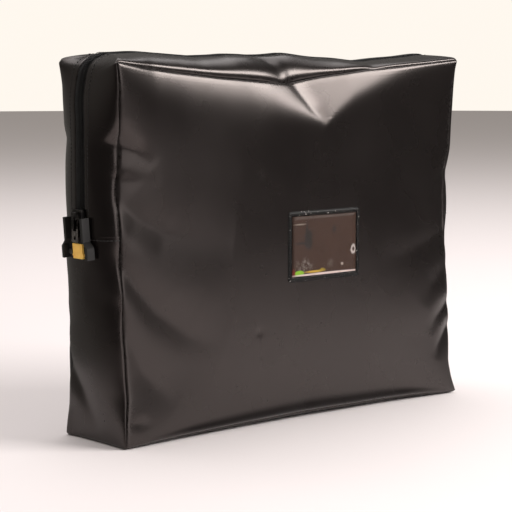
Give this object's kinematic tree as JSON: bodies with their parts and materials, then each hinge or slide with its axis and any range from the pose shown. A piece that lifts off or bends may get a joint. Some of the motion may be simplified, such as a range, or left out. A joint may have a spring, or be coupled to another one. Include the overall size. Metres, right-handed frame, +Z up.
{
  "type": "battery safety bag",
  "caption": "Box-shaped black coated-fabric battery safety bag with a zip round its gusset, a sealable zip end and a clear label window.",
  "frame": {"origin": "middle of the base, on the surface that the bag stands on", "axes": "+X along the width, from the seal housing's side to the other; the front panel with the window faces -Y; +Z up"},
  "size_m": [0.4057, 0.0833, 0.3111],
  "materials": {
    "black_coated_fabric": "semi-gloss plastic-coated fabric, fine embossed grain",
    "lining_fabric": "woven glass fibre, matt",
    "binding_tape": "woven tape, matt",
    "zip_tape": "woven twill tape, matt",
    "zip_teeth": "nylon coil, semi-gloss",
    "zip_metal": "nickel-plated die casting",
    "pull_metal": "dark lacquered metal",
    "housing_plastic": "moulded black plastic, satin",
    "rivet_metal": "plated steel",
    "seal_plastic": "bright moulded plastic",
    "window_weld": "welded plastic strip, glossy edges",
    "clear_film": "clear flexible film, glossy",
    "label_card": "printed card, satin"
  },
  "bodies": {
    "root": {"back_panel": "black_coated_fabric", "front_panel_lower": "black_coated_fabric", "front_panel_fold": "black_coated_fabric", "lower_gusset": "black_coated_fabric", "rear_zip_strip": "black_coated_fabric", "front_strip_fold": "black_coated_fabric", "zip_end_tab": "black_coated_fabric", "back_lining": "lining_fabric", "front_lining_lower": "lining_fabric", "front_lining_fold": "lining_fabric", "lower_gusset_lining": "lining_fabric", "rear_strip_lining": "lining_fabric", "front_strip_lining_fold": "lining_fabric", "rear_seam_binding": "binding_tape", "front_binding_lower": "binding_tape", "front_binding_fold": "binding_tape", "rear_zip_tape": "zip_tape", "front_tape_fold": "zip_tape", "rear_zip_coil": "zip_teeth", "front_coil_fold": "zip_teeth", "seal_chamber": "housing_plastic", "chamber_back_plate": "housing_plastic", "chamber_rivets": "rivet_metal", "window_frame": "window_weld", "window_film": "clear_film"},
    "flap": {"front_panel_upper": "black_coated_fabric", "front_zip_strip": "black_coated_fabric", "front_lining_upper": "lining_fabric", "front_strip_lining": "lining_fabric", "front_binding_upper": "binding_tape", "front_zip_tape": "zip_tape", "front_zip_coil": "zip_teeth"},
    "slider": {"zip_slider": "zip_metal"},
    "pull": {"zip_pull": "pull_metal"},
    "seal": {"security_seal": "seal_plastic"},
    "card": {"label_card": "label_card"}
  },
  "joints": [
    {"name": "flap_hinge", "type": "hinge", "parent": "root", "child": "flap", "pos_m": [0, 0, 0.182], "axis": [1, 0, 0], "range_deg": [0, 90], "deforming": ["front_panel_fold", "front_strip_fold", "front_lining_fold", "front_strip_lining_fold", "front_binding_fold", "front_tape_fold", "front_coil_fold"]},
    {"name": "zip_slide", "type": "slide", "parent": "root", "child": "slider", "axis": [0, 0, 1], "range_m": [0, 0.06], "deforming": ["rear_zip_coil", "front_zip_coil"]},
    {"name": "pull_hinge", "type": "hinge", "parent": "slider", "child": "pull", "pos_m": [-0.2029, 0, 0.181], "axis": [0, 1, 0], "range_deg": [0, 150]},
    {"name": "seal_slide", "type": "slide", "parent": "root", "child": "seal", "axis": [-0.997, 0, -0.0772], "range_m": [0, 0.015]},
    {"name": "card_slide", "type": "slide", "parent": "root", "child": "card", "axis": [1, 0, 0], "range_m": [0, 0.085]}
  ]
}
